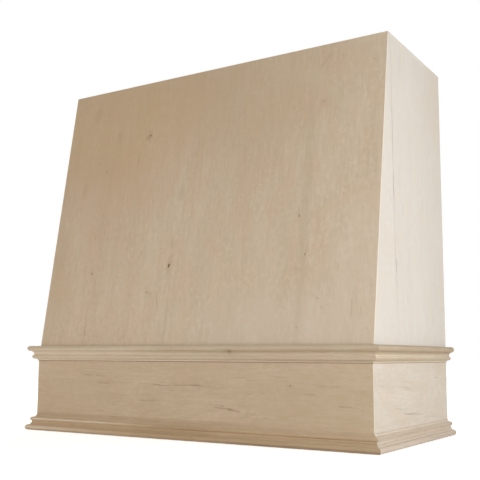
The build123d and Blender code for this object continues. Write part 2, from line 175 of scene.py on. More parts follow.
def makeYearRamp(tree, season):
    node = addNode(tree, "ShaderNodeValToRGB", {"Fac": season})
    stops = node.color_ramp.elements
    for index, (position, shade) in enumerate(woodGrain["yearStops"]):
        stop = stops[index] if index < 2 else stops.new(position)
        stop.position, stop.color = position, (shade, shade, shade, 1)
    return node.outputs[0]


def makeSawnWood():
    tree, given, result = newGroup("sawnWood", {
        "Vector": "Vector", "Seed": 0.0,
        "Pale": "Color", "Deep": "Color", "Ring Tone": "Color", "Blush Tone": "Color",
        "Ring Gap": 0.007, "Heart Depth": 0.05, "Heart Across": 0.0,
        "Taper": 0.03, "Wander": 0.02, "Rings": 0.4,
        "Fibres": 0.5, "Clouds": 0.4, "Pores": 0.3, "Curl": 0.2,
        "Mottle": 0.2, "Flecks": 0.3, "Blush": 0.2, "End": 0.0,
    }, {"Color": "Color", "Roughness": "Float", "Height": "Float"})
    steps = zip("XYZ", woodGrain["seedStep"])
    away = addNode(tree, "ShaderNodeCombineXYZ", {
        axis: calc(tree, "MULTIPLY", given["Seed"], step) for axis, step in steps
    }).outputs[0]
    place = vectorCalc(tree, "ADD", given["Vector"], away)

    def grain(name, detail=2.0, roughness=0.5):
        return grainNoise(tree, place, woodGrain[name], detail, roughness)

    # rings: distance from a heart line that tapers and wanders
    warps = axes(tree, pushNoise(tree, place, woodGrain["warp"], 3.0, 0.55))
    split = axes(tree, given["Vector"])
    across = calc(tree, "SUBTRACT", split["X"], given["Heart Across"])
    across = calc(tree, "MULTIPLY_ADD", warps["X"], calc(tree, "MULTIPLY", given["Wander"], 4.0), across)
    depth = calc(tree, "ADD", split["Y"], given["Heart Depth"])
    depth = calc(tree, "MULTIPLY_ADD", split["Z"], given["Taper"], depth)
    depth = calc(tree, "MULTIPLY_ADD", warps["Y"], calc(tree, "MULTIPLY", given["Wander"], 2.4), depth)
    reach = calc(tree, "ADD", calc(tree, "MULTIPLY", across, across), calc(tree, "MULTIPLY", depth, depth))
    reach = calc(tree, "SQRT", reach)
    reach = calc(tree, "MULTIPLY_ADD", fromHalf(tree, grain("ripple")), woodGrain["rippleReach"], reach)
    turns = calc(tree, "DIVIDE", reach, given["Ring Gap"])
    late = makeYearRamp(tree, calc(tree, "FRACT", turns))
    year = calc(tree, "ADD", calc(tree, "FLOOR", turns), given["Seed"])
    yearNoise = addNode(tree, "ShaderNodeTexWhiteNoise", {"W": year}, noise_dimensions="1D")
    yearShade = calc(tree, "MULTIPLY_ADD", yearNoise.outputs["Value"], 0.75, 0.25)
    patches = grain("patches", roughness=0.55)
    ring = calc(tree, "MULTIPLY", late, yearShade)
    ring = calc(tree, "MULTIPLY", ring, stretch(tree, patches, 0.36, 0.64, 0.15, 1.0))
    # fibres at three widths, stronger in some patches than in others
    fine = grain("fine", 3.0, 0.6)
    middle = grain("middle", 3.0, 0.6)
    middleShare = stretch(tree, patches, 0.3, 0.7, 0.5, 1.4)
    fibre = calc(tree, "MULTIPLY", fromHalf(tree, fine), woodGrain["fineShare"])
    fibre = calc(tree, "MULTIPLY_ADD", fromHalf(tree, middle), middleShare, fibre)
    broad = fromHalf(tree, grain("broad", roughness=0.55))
    fibre = calc(tree, "MULTIPLY_ADD", broad, woodGrain["broadShare"], fibre)
    pore = stretch(tree, grain("dashes", 1.0), 0.60, 0.76)
    # curl crosses the grain in places
    cloud = grain("cloud")
    curl = fromHalf(tree, grain("curl", roughness=0.6))
    curl = calc(tree, "MULTIPLY", curl, stretch(tree, cloud, 0.45, 0.68))
    # mottle is a short wavy figure with thin swirled lines
    bend = pushNoise(tree, place, woodGrain["bend"], 1.0, 0.5)
    bend = vectorCalc(tree, "MULTIPLY", bend, woodGrain["bendReach"])
    figure = grainNoise(tree, vectorCalc(tree, "ADD", place, bend), woodGrain["figure"], 2.0, 0.6)
    figure = fromHalf(tree, figure)
    swirl = stretch(tree, calc(tree, "ABSOLUTE", figure), 0.035, 0.0)
    swirl = calc(tree, "MULTIPLY", swirl, woodGrain["swirlShare"])
    mottle = calc(tree, "MULTIPLY_ADD", figure, woodGrain["figureShare"], swirl)
    where = stretch(tree, grain("figurePatches", 1.0), 0.52, 0.68)
    mottle = calc(tree, "MULTIPLY", mottle, calc(tree, "MULTIPLY_ADD", where, 0.4, 0.42))
    # flecks: few, short and dark
    cells = addNode(tree, "ShaderNodeTexVoronoi", {
        "Vector": vectorCalc(tree, "MULTIPLY", place, woodGrain["flecks"]), "Scale": 1.0,
    }).outputs
    draw = addNode(tree, "ShaderNodeSeparateColor", {"Color": cells["Color"]}).outputs[0]
    chosen = calc(tree, "LESS_THAN", draw, woodGrain["fleckShare"])
    fleck = calc(tree, "MULTIPLY", stretch(tree, cells["Distance"], 0.2, 0.05), chosen)
    # all of it as one tone between pale and deep, then the blush and the dark marks
    tone = calc(tree, "MULTIPLY_ADD", fibre, given["Fibres"], woodGrain["baseTone"])
    tone = calc(tree, "MULTIPLY_ADD", fromHalf(tree, cloud), given["Clouds"], tone)
    tone = calc(tree, "MULTIPLY_ADD", mottle, given["Mottle"], tone)
    tone = calc(tree, "MULTIPLY_ADD", curl, given["Curl"], tone, clamp=True)
    color = blendColors(tree, tone, given["Pale"], given["Deep"])
    flush = stretch(tree, grain("flush", 3.0, 0.55), 0.42, 0.62)
    color = blendColors(tree, calc(tree, "MULTIPLY", flush, given["Blush"]), color, given["Blush Tone"])
    for share, strength in ((ring, "Rings"), (pore, "Pores"), (fleck, "Flecks")):
        share = calc(tree, "MULTIPLY", share, given[strength], clamp=True)
        color = blendColors(tree, share, color, given["Ring Tone"])
    # end grain drinks in more light, and its pores are dots
    dots = stretch(tree, grain("endDots", 1.0), 0.5, 0.75)
    endTone = blendColors(tree, calc(tree, "MULTIPLY_ADD", dots, 0.5, 0.35), given["Deep"], given["Ring Tone"])
    endRing = blendColors(tree, 0.25, given["Ring Tone"], (0, 0, 0, 1))
    endTone = blendColors(tree, calc(tree, "MULTIPLY", ring, 0.5), endTone, endRing)
    color = blendColors(tree, calc(tree, "MULTIPLY", given["End"], woodGrain["endShare"]), color, endTone)
    feed(tree, result["Color"], color)
    rough = calc(tree, "MULTIPLY_ADD", fine, 0.16, 0.5)
    rough = calc(tree, "MULTIPLY_ADD", given["End"], 0.2, rough)
    feed(tree, result["Roughness"], calc(tree, "MULTIPLY_ADD", curl, 0.2, rough))
    height = calc(tree, "MULTIPLY_ADD", pore, -0.6, calc(tree, "MULTIPLY", fine, 0.6))
    height = calc(tree, "MULTIPLY_ADD", ring, 0.35, height)
    feed(tree, result["Height"], calc(tree, "MULTIPLY_ADD", middle, 0.4, height))
    return tree


# Edges of plywood: thin layers whose grain turns with each one, dark glue lines and rare gaps

plyGrain = {  # cells a metre, and how strongly each part shows
    "sway": (9, 9, 9), "swayReach": 0.0006, "alongStreak": (700, 700, 8), "acrossStreak": (8, 700, 700),
    "dots": (1300, 1300, 1300), "gaps": (22, 22, 22), "glueShare": 0.65, "gapShare": 0.8,
}


def makePlyEdge():
    tree, given, result = newGroup("plyEdge", {
        "Vector": "Vector", "Thickness": 0.019, "Layers": 9.0,
        "End": 0.0, "Pale": "Color", "Deep": "Color", "Glue": "Color",
    }, {"Color": "Color", "Roughness": "Float", "Height": "Float"})
    place = given["Vector"]
    sway = fromHalf(tree, grainNoise(tree, place, plyGrain["sway"], 1.0, 0.5))
    through = calc(tree, "MULTIPLY_ADD", sway, plyGrain["swayReach"], axes(tree, place)["Y"])
    layer = calc(tree, "MULTIPLY", calc(tree, "DIVIDE", through, given["Thickness"]), given["Layers"])
    number = calc(tree, "FLOOR", layer)
    inside = calc(tree, "FRACT", layer)
    odd = calc(tree, "ABSOLUTE", calc(tree, "MODULO", number, 2.0))
    turned = calc(tree, "ABSOLUTE", calc(tree, "SUBTRACT", odd, given["End"]))
    alongStreak = grainNoise(tree, place, plyGrain["alongStreak"], 2.0, 0.5)
    acrossStreak = grainNoise(tree, place, plyGrain["acrossStreak"], 2.0, 0.5)
    streak = addNode(tree, "ShaderNodeMix", {0: given["End"], 2: alongStreak, 3: acrossStreak}).outputs[0]
    dots = grainNoise(tree, place, plyGrain["dots"], 2.0, 0.6)
    layerNoise = addNode(tree, "ShaderNodeTexWhiteNoise", {"W": number}, noise_dimensions="1D")
    layerShade = calc(tree, "MULTIPLY", layerNoise.outputs["Value"], 0.3)
    longTone = calc(tree, "MULTIPLY_ADD", fromHalf(tree, streak), 1.2, layerShade, clamp=True)
    endTone = calc(tree, "MULTIPLY_ADD", fromHalf(tree, dots), 1.5, 0.62, clamp=True)
    tone = addNode(tree, "ShaderNodeMix", {0: turned, 2: longTone, 3: endTone}).outputs[0]
    color = blendColors(tree, tone, given["Pale"], given["Deep"])
    nearGlue = calc(tree, "MINIMUM", inside, calc(tree, "SUBTRACT", 1.0, inside))
    glue = stretch(tree, nearGlue, 0.10, 0.02)
    color = blendColors(tree, calc(tree, "MULTIPLY", glue, plyGrain["glueShare"]), color, given["Glue"])
    # gaps only in the core layers, and never across a glue line
    apart = addNode(tree, "ShaderNodeCombineXYZ", {"X": calc(tree, "MULTIPLY", number, 1.7)}).outputs[0]
    gapNoise = grainNoise(tree, vectorCalc(tree, "ADD", place, apart), plyGrain["gaps"], 0.0, 0.5)
    gap = calc(tree, "MULTIPLY", stretch(tree, gapNoise, 0.71, 0.73), odd)
    gap = calc(tree, "MULTIPLY", gap, stretch(tree, nearGlue, 0.12, 0.2))
    gapTone = blendColors(tree, 0.6, given["Glue"], (0, 0, 0, 1))
    color = blendColors(tree, calc(tree, "MULTIPLY", gap, plyGrain["gapShare"]), color, gapTone)
    feed(tree, result["Color"], color)
    feed(tree, result["Roughness"], calc(tree, "MULTIPLY_ADD", turned, 0.15, 0.62))
    low = calc(tree, "MULTIPLY_ADD", gap, -2.0, calc(tree, "MULTIPLY", glue, -0.5))
    feed(tree, result["Height"], calc(tree, "MULTIPLY_ADD", tone, -0.5, low))
    return tree


# A dark mineral streak along the grain

streakGrain = {"sway": (6, 6, 9), "swayReach": 0.006, "breaks": (300, 300, 16)}


def makeMineralStreak():
    tree, given, result = newGroup("mineralStreak", {
        "Vector": "Vector", "Across": 0.0, "Middle": 0.0, "Length": 0.1, "Width": 0.002, "Slant": 0.0,
    }, {"Mask": "Float"})
    split = axes(tree, given["Vector"])
    along = calc(tree, "SUBTRACT", split["Z"], given["Middle"])
    sway = fromHalf(tree, grainNoise(tree, given["Vector"], streakGrain["sway"], 2.0, 0.5))
    line = calc(tree, "MULTIPLY_ADD", along, given["Slant"], given["Across"])
    line = calc(tree, "MULTIPLY_ADD", sway, streakGrain["swayReach"], line)
    aside = calc(tree, "ABSOLUTE", calc(tree, "SUBTRACT", split["X"], line))
    share = calc(tree, "ABSOLUTE", calc(tree, "DIVIDE", along, given["Length"]))
    fade = stretch(tree, share, 0.5, 0.25)
    body = stretch(tree, calc(tree, "DIVIDE", aside, given["Width"]), 1.0, 0.0)
    breaks = grainNoise(tree, given["Vector"], streakGrain["breaks"], 2.0, 0.6)
    broken = stretch(tree, breaks, 0.3, 0.62, 0.35, 1.0)
    feed(tree, result["Mask"], calc(tree, "MULTIPLY", calc(tree, "MULTIPLY", fade, body), broken))
    return tree


# A pin knot: its dark core and the longer halo round it

def makePinKnot():
    tree, given, result = newGroup("pinKnot", {
        "Vector": "Vector", "Place": "Vector", "Size": 0.003, "Slant": 0.0, "Reach": 1.6,
    }, {"Core": "Float", "Halo": "Float"})
    split = axes(tree, vectorCalc(tree, "SUBTRACT", given["Vector"], given["Place"]))
    aside = calc(tree, "MULTIPLY_ADD", split["Z"], given["Slant"], split["X"])
    aside = calc(tree, "DIVIDE", aside, given["Size"])
    along = calc(tree, "DIVIDE", calc(tree, "DIVIDE", split["Z"], given["Size"]), given["Reach"])
    asideSquared = calc(tree, "MULTIPLY", aside, aside)
    core = calc(tree, "SQRT", calc(tree, "MULTIPLY_ADD", along, along, asideSquared))
    far = calc(tree, "MULTIPLY", along, 0.5)
    halo = calc(tree, "SQRT", calc(tree, "MULTIPLY_ADD", far, far, asideSquared))
    feed(tree, result["Core"], stretch(tree, core, 1.0, 0.35))
    feed(tree, result["Halo"], stretch(tree, halo, 3.4, 0.6))
    return tree


# A broad soft patch of another tone, such as the log's darker heart shows

cloudEdge = {"grain": (14, 14, 4), "reach": 0.6}


def makeToneCloud():
    tree, given, result = newGroup("toneCloud", {
        "Vector": "Vector", "Place": "Vector", "Across Reach": 0.1, "Along Reach": 0.2,
    }, {"Mask": "Float"})
    split = axes(tree, vectorCalc(tree, "SUBTRACT", given["Vector"], given["Place"]))
    aside = calc(tree, "DIVIDE", split["X"], given["Across Reach"])
    along = calc(tree, "DIVIDE", split["Z"], given["Along Reach"])
    far = calc(tree, "MULTIPLY_ADD", aside, aside, calc(tree, "MULTIPLY", along, along))
    ragged = fromHalf(tree, grainNoise(tree, given["Vector"], cloudEdge["grain"], 2.0, 0.55))
    far = calc(tree, "MULTIPLY_ADD", ragged, cloudEdge["reach"], calc(tree, "SQRT", far))
    feed(tree, result["Mask"], stretch(tree, far, 1.0, 0.3))
    return tree


# A line that follows a moulding or a joint at one height. It may be soft or crisp, and fade out on its way.

linePatches = {"grain": (40, 40, 14), "share": 0.3}


def makeLongLine():
    tree, given, result = newGroup("longLine", {
        "Vector": "Vector", "Across": 0.0, "Half Width": 0.001, "Core": 0.2, "Full": 8.0, "Gone": 9.0,
    }, {"Mask": "Float"})
    split = axes(tree, given["Vector"])
    aside = calc(tree, "ABSOLUTE", calc(tree, "SUBTRACT", split["X"], given["Across"]))
    body = stretch(tree, calc(tree, "DIVIDE", aside, given["Half Width"]), 1.0, given["Core"])
    patches = stretch(tree, grainNoise(tree, given["Vector"], linePatches["grain"], 2.0, 0.6), 0.35, 0.65)
    kept = calc(tree, "SUBTRACT", 1.0, calc(tree, "MULTIPLY", linePatches["share"], patches))
    faded = stretch(tree, split["Z"], given["Gone"], given["Full"])
    feed(tree, result["Mask"], calc(tree, "MULTIPLY", calc(tree, "MULTIPLY", body, kept), faded))
    return tree


# A row of filled brad holes along a moulding's cove

def makePuttyDots():
    tree, given, result = newGroup("puttyDots", {
        "Vector": "Vector", "Spacing": 0.15, "Across": 0.0, "Radius": 0.001,
    }, {"Mask": "Float"})
    split = axes(tree, given["Vector"])
    step = calc(tree, "FRACT", calc(tree, "DIVIDE", split["Z"], given["Spacing"]))
    along = calc(tree, "MULTIPLY", fromHalf(tree, step), given["Spacing"])
    aside = calc(tree, "SUBTRACT", split["X"], given["Across"])
    apart = calc(tree, "ADD", calc(tree, "MULTIPLY", along, along), calc(tree, "MULTIPLY", aside, aside))
    apart = calc(tree, "DIVIDE", calc(tree, "SQRT", apart), given["Radius"])
    feed(tree, result["Mask"], stretch(tree, apart, 1.15, 0.8))
    return tree


# How far a face looks along the grain, and how far it looks through the board

def makeFaceMasks():
    tree, given, result = newGroup("faceMasks", {
        "Along": "Vector", "Through": "Vector",
    }, {"End": "Float", "Edge": "Float", "Arris": "Float", "Inside": "Float"})
    normal = addNode(tree, "ShaderNodeNewGeometry").outputs["True Normal"]
    alongShare = calc(tree, "ABSOLUTE", vectorCalc(tree, "DOT_PRODUCT", normal, given["Along"]))
    inward = vectorCalc(tree, "DOT_PRODUCT", normal, given["Through"])
    throughShare = calc(tree, "ABSOLUTE", inward)
    feed(tree, result["End"], stretch(tree, alongShare, 0.6, 0.8))
    feed(tree, result["Edge"], stretch(tree, throughShare, 0.45, 0.3))
    notEdge = stretch(tree, throughShare, 0.4, 0.5)
    notFlat = stretch(tree, throughShare, 0.985, 0.95)
    feed(tree, result["Arris"], calc(tree, "MULTIPLY", notEdge, notFlat))
    feed(tree, result["Inside"], stretch(tree, inward, 0.6, 0.9))
    return tree


sawnWood = makeSawnWood()
plyEdge = makePlyEdge()
mineralStreak = makeMineralStreak()
pinKnot = makePinKnot()
toneCloud = makeToneCloud()
longLine = makeLongLine()
puttyDots = makePuttyDots()
faceMasks = makeFaceMasks()
print("wood groups made")


# One material for each board, cut from the shared wood with its own values

def grainPlace(tree, look):
    # object coordinates turned to run across, through and along the grain
    along = Vector(look["along"]).normalized()
    across = Vector(look["across"]).normalized()
    through = along.cross(across)
    turn = Matrix((across, through, along))
    place = addNode(tree, "ShaderNodeTexCoord").outputs["Object"]
    mapping = addNode(tree, "ShaderNodeMapping", {"Vector": place})
    mapping.inputs["Rotation"].default_value = turn.to_euler()
    mapping.inputs["Location"].default_value = -(turn @ Vector(look["origin"]))
    masks = useGroup(tree, faceMasks, {"Along": tuple(along), "Through": tuple(through)})
    return mapping.outputs[0], masks


woodDefaults = {
    "seed": 1.0, "ringGap": 0.007, "heartDepth": 0.05, "heartAcross": 0.0, "taper": 0.03, "wander": 0.02,
    "rings": 0.4, "fibres": 0.5, "clouds": 0.4, "pores": 0.3, "curl": 0.2, "mottle": 0.2, "flecks": 0.3,
    "blush": 0.2, "blushTone": paint(205, 176, 150), "markTone": paint(88, 62, 42), "bump": 0.00012,
    "gloss": 0.35, "haloShare": 0.3, "puttyShare": 0.6, "puttyRadius": 0.0012,
    "insideShare": 0.8, "insideShift": (0.31, 0.02, 0.83), "arrisHighlightShare": 0.8,
    "knotGrain": (420, 420, 160), "knotWobble": (0.003, 0.0, 0.005),
}
woodInputs = (  # each is filled from the value of the same name, as "Ring Tone" from ringTone
    "Seed", "Pale", "Deep", "Ring Tone", "Blush Tone", "Ring Gap", "Heart Depth", "Heart Across", "Taper",
    "Wander", "Rings", "Fibres", "Clouds", "Pores", "Curl", "Mottle", "Flecks", "Blush",
)


def drawMarks(tree, place, look, color):
    # broad clouds first, then streaks, knots, long lines and filled holes on top
    dark = look["markTone"]

    def layOver(mask, share, below, tone):
        return blendColors(tree, calc(tree, "MULTIPLY", mask, share), below, tone)

    for across, along, acrossReach, alongReach, share, tone in look.get("toneClouds", ()):
        mask = useGroup(tree, toneCloud, {
            "Vector": place, "Place": (across, 0.0, along),
            "Across Reach": acrossReach, "Along Reach": alongReach,
        })["Mask"]
        color = layOver(mask, share, color, tone)
    for across, middle, length, width, slant, share, *tone in look.get("streaks", ()):
        mask = useGroup(tree, mineralStreak, {
            "Vector": place, "Across": across, "Middle": middle,
            "Length": length, "Width": width, "Slant": slant,
        })["Mask"]
        color = layOver(mask, share, color, tone[0] if tone else dark)
    if "knots" in look:
        wobble = pushNoise(tree, place, look["knotGrain"], 2.0, 0.6)
        wobble = vectorCalc(tree, "MULTIPLY", wobble, look["knotWobble"])
        knotPlace = vectorCalc(tree, "ADD", place, wobble)
    for across, along, size, reach, slant, share in look.get("knots", ()):
        knot = useGroup(tree, pinKnot, {
            "Vector": knotPlace, "Place": (across, 0.0, along), "Size": size, "Reach": reach, "Slant": slant,
        })
        color = layOver(knot["Halo"], share * look["haloShare"], color, look["ringTone"])
        color = layOver(knot["Core"], share, color, dark)
    for across, halfWidth, share, tone, *ends in look.get("lines", ()):
        feeds = dict(zip(("Core", "Full", "Gone"), ends))
        feeds.update({"Vector": place, "Across": across, "Half Width": halfWidth})
        color = layOver(useGroup(tree, longLine, feeds)["Mask"], share, color, tone)
    if "putty" in look:
        spacing, across = look["putty"]
        mask = useGroup(tree, puttyDots, {
            "Vector": place, "Spacing": spacing, "Across": across, "Radius": look["puttyRadius"],
        })["Mask"]
        color = layOver(mask, look["puttyShare"], color, look["puttyTone"])
    return color


def makeWood(name, look):
    look = {**woodDefaults, **look}
    material = bpy.data.materials.new(name)
    material.use_nodes = True
    tree = material.node_tree
    shader = tree.nodes["Principled BSDF"]
    place, masks = grainPlace(tree, look)
    boardPlace = place
    if "layers" in look:  # the back face of plywood is another veneer
        shift = vectorCalc(tree, "SCALE", look["insideShift"])
        feed(tree, shift.node.inputs["Scale"], masks["Inside"])
        boardPlace = vectorCalc(tree, "ADD", place, shift)
    feeds = {label: look[label[0].lower() + label[1:].replace(" ", "")] for label in woodInputs}
    wood = useGroup(tree, sawnWood, {**feeds, "Vector": boardPlace, "End": masks["End"]})
    color, rough, height = wood["Color"], wood["Roughness"], wood["Height"]
    color = drawMarks(tree, place, look, color)
    if "insideTone" in look:
        inside = calc(tree, "MULTIPLY", masks["Inside"], look["insideShare"])
        color = blendColors(tree, inside, color, blendColors(tree, 1.0, color, look["insideTone"], "MULTIPLY"))
    if "layers" in look:
        edge = useGroup(tree, plyEdge, {
            "Vector": place, "Thickness": look["thickness"], "Layers": look["layers"], "End": masks["End"],
            "Pale": look["pale"], "Deep": look["coreTone"], "Glue": look["glueTone"],
        })
        color = blendColors(tree, masks["Edge"], color, edge["Color"])
        rough = addNode(tree, "ShaderNodeMix", {0: masks["Edge"], 2: rough, 3: edge["Roughness"]}).outputs[0]
        height = addNode(tree, "ShaderNodeMix", {0: masks["Edge"], 2: height, 3: edge["Height"]}).outputs[0]
    if "arrisHighlightTone" in look:  # rounded corners are painted a little paler, a painted highlight along the arris
        arris = calc(tree, "MULTIPLY", masks["Arris"], look["arrisHighlightShare"])
        color = blendColors(tree, arris, color, look["arrisHighlightTone"])
    feed(tree, shader.inputs["Base Color"], color)
    feed(tree, shader.inputs["Roughness"], rough)
    shader.inputs["Specular IOR Level"].default_value = look["gloss"]
    bump = addNode(tree, "ShaderNodeBump", {"Height": height, "Strength": 1.0, "Distance": look["bump"]})
    feed(tree, shader.inputs["Normal"], bump.outputs[0])
    return material


def dress(nodeName, material):
    nodes[nodeName].material_slots[0].material = material


# The casing's plywood panels. Marks give places across and along the grain from the panel's middle and foot.

frontVeneer = {
    "along": upSlope, "across": (1, 0, 0), "origin": (0, faceY, apronTop), "seed": 4.0,
    "pale": paint(213, 194, 169), "deep": paint(192, 169, 140), "ringTone": paint(162, 137, 106),
    "blushTone": paint(209, 175, 144), "blush": 0.21,
    "ringGap": 0.013, "heartDepth": 0.11, "heartAcross": 0.30, "taper": 0.12, "wander": 0.035,
    "rings": 0.12, "fibres": 0.85, "clouds": 0.6, "pores": 0.3, "curl": 0.5, "mottle": 1.35, "flecks": 0.4,
    "layers": 9, "thickness": boardThick, "coreTone": paint(186, 158, 122), "glueTone": paint(120, 92, 64),
    # the arris tone is a painted highlight along the rounded corners
    "arrisHighlightTone": paint(222, 204, 180), "insideTone": paint(246, 240, 228),
    "toneClouds": (  # across, along, reach across, reach along, share, tone
        # the first six paint the light's fall-off across the panel: painted shade at the top and left, painted
        # light at the lower right
        (-0.30, 0.63, 0.42, 0.30, 0.46, paint(198, 163, 122)),
        (0.12, 0.63, 0.32, 0.25, 0.42, paint(192, 166, 132)),
        (-0.34, 0.42, 0.26, 0.20, 0.30, paint(192, 163, 132)),
        (-0.46, 0.16, 0.12, 0.26, 0.35, paint(184, 162, 130)),
        (0.20, 0.04, 0.30, 0.18, 0.35, paint(214, 199, 179)),
        (0.46, 0.14, 0.20, 0.32, 0.25, paint(214, 198, 177)),
        (0.283, 0.36, 0.018, 0.50, 0.20, paint(172, 150, 120)),
        (-0.370, 0.663, 0.018, 0.036, 0.15, paint(150, 126, 88)),
        (-0.282, 0.587, 0.012, 0.028, 0.14, paint(142, 118, 84)),
        (-0.245, 0.577, 0.010, 0.022, 0.10, paint(142, 118, 84)),
        (-0.380, 0.450, 0.016, 0.030, 0.12, paint(142, 116, 88)),
        (-0.058, 0.410, 0.012, 0.030, 0.16, paint(166, 120, 98)),
        (-0.071, 0.285, 0.009, 0.026, 0.20, paint(156, 126, 80)),
        (-0.186, 0.573, 0.012, 0.012, 0.25, paint(140, 114, 72)),
    ),
    "knots": (  # across, along, size, length in sizes, slant, share
        (-0.1790, 0.5780, 0.0032, 1.2, 0.1, 0.85),
        (-0.0735, 0.2270, 0.0034, 2.1, -0.12, 1.00),
        (-0.3150, 0.2190, 0.0036, 1.6, 0.1, 0.40),
        (-0.3120, 0.4940, 0.0028, 1.2, 0.0, 0.35),
        (-0.1300, 0.1640, 0.0040, 0.8, 0.4, 0.45),
        (-0.1180, 0.1600, 0.0024, 1.0, 0.0, 0.35),
        (0.2690, 0.3200, 0.0018, 2.6, 0.1, 0.65),
        (0.2900, 0.2310, 0.0018, 2.4, -0.1, 0.75),
        (0.2810, 0.0730, 0.0016, 1.2, 0.0, 0.38),
        (0.3260, 0.1340, 0.0044, 0.7, 0.9, 0.24),
        (0.3370, 0.1140, 0.0020, 1.4, 0.4, 0.24),
        (0.3100, 0.5870, 0.0046, 0.6, 0.9, 0.24),
        (0.4300, 0.6680, 0.0034, 0.6, 0.3, 0.22),
        (0.4394, 0.0678, 0.0016, 1.6, 0.2, 0.26),
    ),
    "streaks": (  # across, middle, length, width, slant, share
        (-0.3140, 0.0830, 0.11, 0.0026, 0.0, 0.36),
        (-0.0650, 0.1250, 0.26, 0.0020, 0.0, 0.16),
        (-0.0655, 0.0850, 0.11, 0.0022, 0.0, 0.18),
        (-0.0970, 0.1400, 0.06, 0.0040, -0.2, 0.20),
        (-0.1630, 0.2620, 0.04, 0.0036, 0.5, 0.20),
        (0.3100, 0.6880, 0.05, 0.0080, 0.7, 0.12),
        (-0.2100, 0.5110, 0.05, 0.0050, 0.1, 0.11),
        (0.4050, 0.1100, 0.05, 0.0026, 0.0, 0.22),
        (0.4250, 0.1010, 0.04, 0.0026, 0.0, 0.22),
    ),
}
sideVeneer = {
    "along": (0, 0, 1), "across": (0, 1, 0), "origin": (halfWidth, 0, apronTop), "seed": 9.0,
    "pale": paint(205, 195, 182), "deep": paint(191, 179, 163), "ringTone": paint(170, 155, 134),
    "blushTone": paint(202, 187, 167), "blush": 0.28,
    "ringGap": 0.010, "heartDepth": 0.12, "heartAcross": 0.16, "taper": 0.06, "wander": 0.02,
    "rings": 0.12, "fibres": 0.55, "clouds": 0.4, "pores": 0.2, "curl": 0.5, "mottle": 0.85, "flecks": 0.3,
    "layers": 9, "thickness": boardThick, "coreTone": paint(186, 158, 122), "glueTone": paint(120, 92, 64),
    # the arris tone is a painted highlight along the rounded corners
    "arrisHighlightTone": paint(224, 214, 199), "insideTone": paint(246, 240, 228),
}
rightSideMarks = {  # listed as the front's are
    "toneClouds": (
        (0.20, 0.64, 0.10, 0.17, 0.32, paint(198, 180, 155)),
        (-0.038, 0.665, 0.016, 0.060, 0.18, paint(176, 162, 144)),
        (-0.035, 0.332, 0.009, 0.020, 0.20, paint(176, 162, 144)),
        (-0.045, 0.138, 0.008, 0.018, 0.18, paint(176, 162, 144)),
        (-0.018, 0.140, 0.006, 0.016, 0.16, paint(176, 162, 144)),
    ),
    "streaks": (
        (-0.0920, 0.580, 0.34, 0.0036, -0.006, 0.26),
        (-0.0895, 0.430, 0.28, 0.0038, -0.010, 0.27),
        (-0.0900, 0.378, 0.07, 0.0042, 0.0, 0.42),
        (-0.0872, 0.265, 0.28, 0.0038, -0.025, 0.22),
        (-0.0820, 0.203, 0.04, 0.0048, 0.0, 0.36),
        (-0.0800, 0.140, 0.12, 0.0048, 0.0, 0.12),
    ),
}
dress("front_panel", makeWood("mapleVeneerFront", frontVeneer))
dress("right_side_panel", makeWood("mapleVeneerRight", {**sideVeneer, **rightSideMarks}))
dress("left_side_panel", makeWood("mapleVeneerLeft", {
    **sideVeneer, "across": (0, -1, 0), "origin": (-halfWidth, 0, apronTop), "seed": 13.0,
    "pale": paint(206, 192, 173), "deep": paint(193, 176, 153),
}))
print("panels dressed")


# The apron's solid maple boards

apronMaple = {
    "ringTone": paint(158, 130, 98), "blushTone": paint(192, 164, 134), "blush": 0.25,
    "ringGap": 0.006, "heartDepth": 0.07, "taper": 0.05,
    "wander": 0.016, "rings": 0.18, "fibres": 1.35, "clouds": 0.2, "pores": 0.4, "curl": 0.3, "mottle": 1.0,
    # the arris tone is a painted highlight along the rounded corners
    "flecks": 0.4, "arrisHighlightTone": paint(210, 194, 168),
}
apronMiddle = apronTop / 2
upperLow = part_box("upper_moulding_front")[0].z
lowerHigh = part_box("lower_moulding_front")[1].z
# dark joint line, with painted shade where one part meets another and on downward faces
jointAndShadowTone = paint(112, 84, 58)
